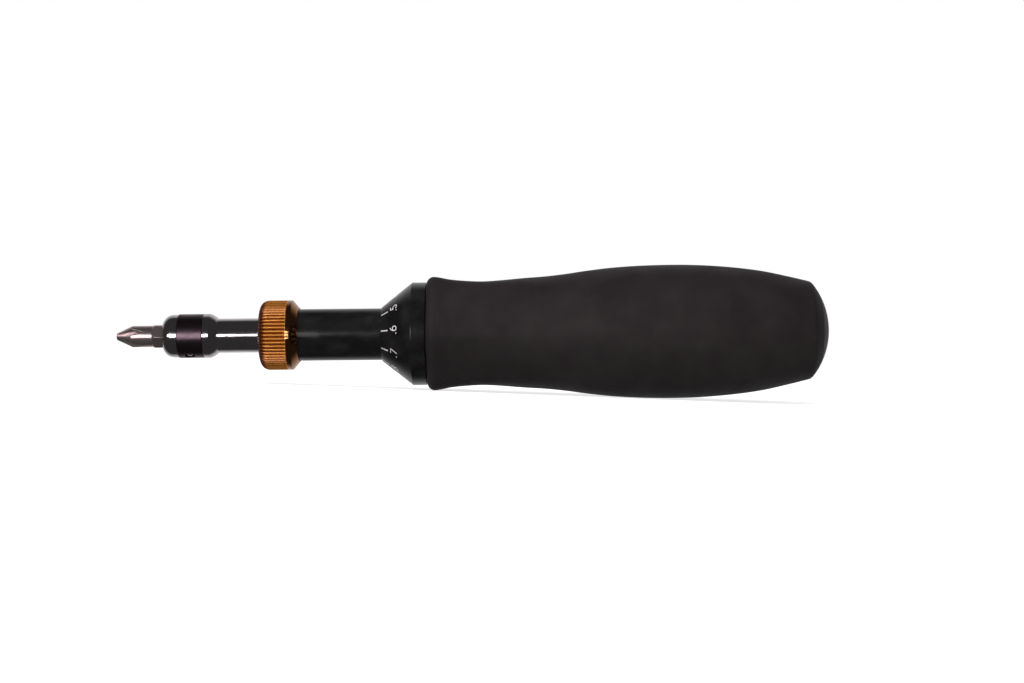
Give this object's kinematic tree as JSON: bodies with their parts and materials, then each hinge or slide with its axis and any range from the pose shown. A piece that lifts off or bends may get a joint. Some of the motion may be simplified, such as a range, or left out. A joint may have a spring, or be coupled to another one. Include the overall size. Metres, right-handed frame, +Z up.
{
  "type": "torque screwdriver",
  "caption": "Micrometer-adjustable torque screwdriver with a rubber grip, an engraved scale cone, a knurled locking ring and a chuck that holds a cross-point bit.",
  "frame": {"origin": "centre of the bit socket's mouth, at the chuck's front face", "axes": "+X along the tool's axis from the bit towards the handle's end, +Z up, as it lies on the flat under its six-sided grip"},
  "size_m": [0.2078, 0.039, 0.039],
  "materials": {
    "bit_steel": "phosphated tool steel",
    "chrome": "bright plated",
    "blued_steel": "blued, fine turned",
    "hardened_steel": "ground",
    "gold_anodised": "gold anodised, ridged",
    "black_anodised": "black anodised, satin",
    "bronze": "plain bearing bronze",
    "brass": "turned",
    "spring_steel": "shot peened",
    "plain_aluminium": "turned",
    "grip_rubber": "moulded, matt",
    "cap_plastic": "moulded, matt"
  },
  "bodies": {
    "handle": {"grip": "grip_rubber", "handle_core": "plain_aluminium", "scale_thimble": "black_anodised", "setting_nut": "bronze", "rear_plug": "plain_aluminium", "calibration_screw": "blued_steel", "lock_nut": "blued_steel", "seat_ball": "hardened_steel", "spring_seat": "hardened_steel", "main_spring": "spring_steel", "end_cap": "cap_plastic"},
    "carrier": {"guide_tube": "hardened_steel", "front_bush": "bronze", "rear_bush": "bronze", "thrust_washer": "hardened_steel", "thrust_cage": "brass", "thrust_balls": "hardened_steel", "clutch_plate": "hardened_steel", "clutch_balls": "hardened_steel"},
    "barrel": {"barrel": "black_anodised", "nose_circlip": "blued_steel", "slide_washer": "bronze", "lock_rollers": "hardened_steel"},
    "lock_ring": {"lock_ring": "gold_anodised"},
    "output_shaft": {"output_shaft": "chrome", "cam_disc": "hardened_steel", "cam_pin": "hardened_steel", "retaining_band": "blued_steel", "phillips_bit": "bit_steel"},
    "detent_ball": {"retaining_ball": "hardened_steel"}
  },
  "joints": [
    {"name": "setting_travel", "type": "slide", "parent": "handle", "child": "carrier", "axis": [1, 0, 0], "range_m": [-0.0042, 0.0058], "deforming": ["main_spring"]},
    {"name": "setting_turn", "type": "hinge", "parent": "carrier", "child": "barrel", "pos_m": [0, 0, 0], "axis": [1, 0, 0], "range_deg": [-756, 1044]},
    {"name": "lock_turn", "type": "hinge", "parent": "barrel", "child": "lock_ring", "pos_m": [0.034, 0, 0], "axis": [1, 0, 0], "range_deg": [-40, 0]},
    {"name": "clutch_slip", "type": "hinge", "parent": "carrier", "child": "output_shaft", "pos_m": [0, 0, 0], "axis": [1, 0, 0], "continuous": true},
    {"name": "detent_lift", "type": "slide", "parent": "output_shaft", "child": "detent_ball", "axis": [0, -0.4147, -0.91], "range_m": [0, 0.00065], "stiffness_N_per_m": 1000, "springref_m": -0.0005, "deforming": ["retaining_band"]}
  ],
  "couplings": [
    {"joint": "setting_turn", "follows": "setting_travel", "rad_per_m": 3141.6}
  ]
}
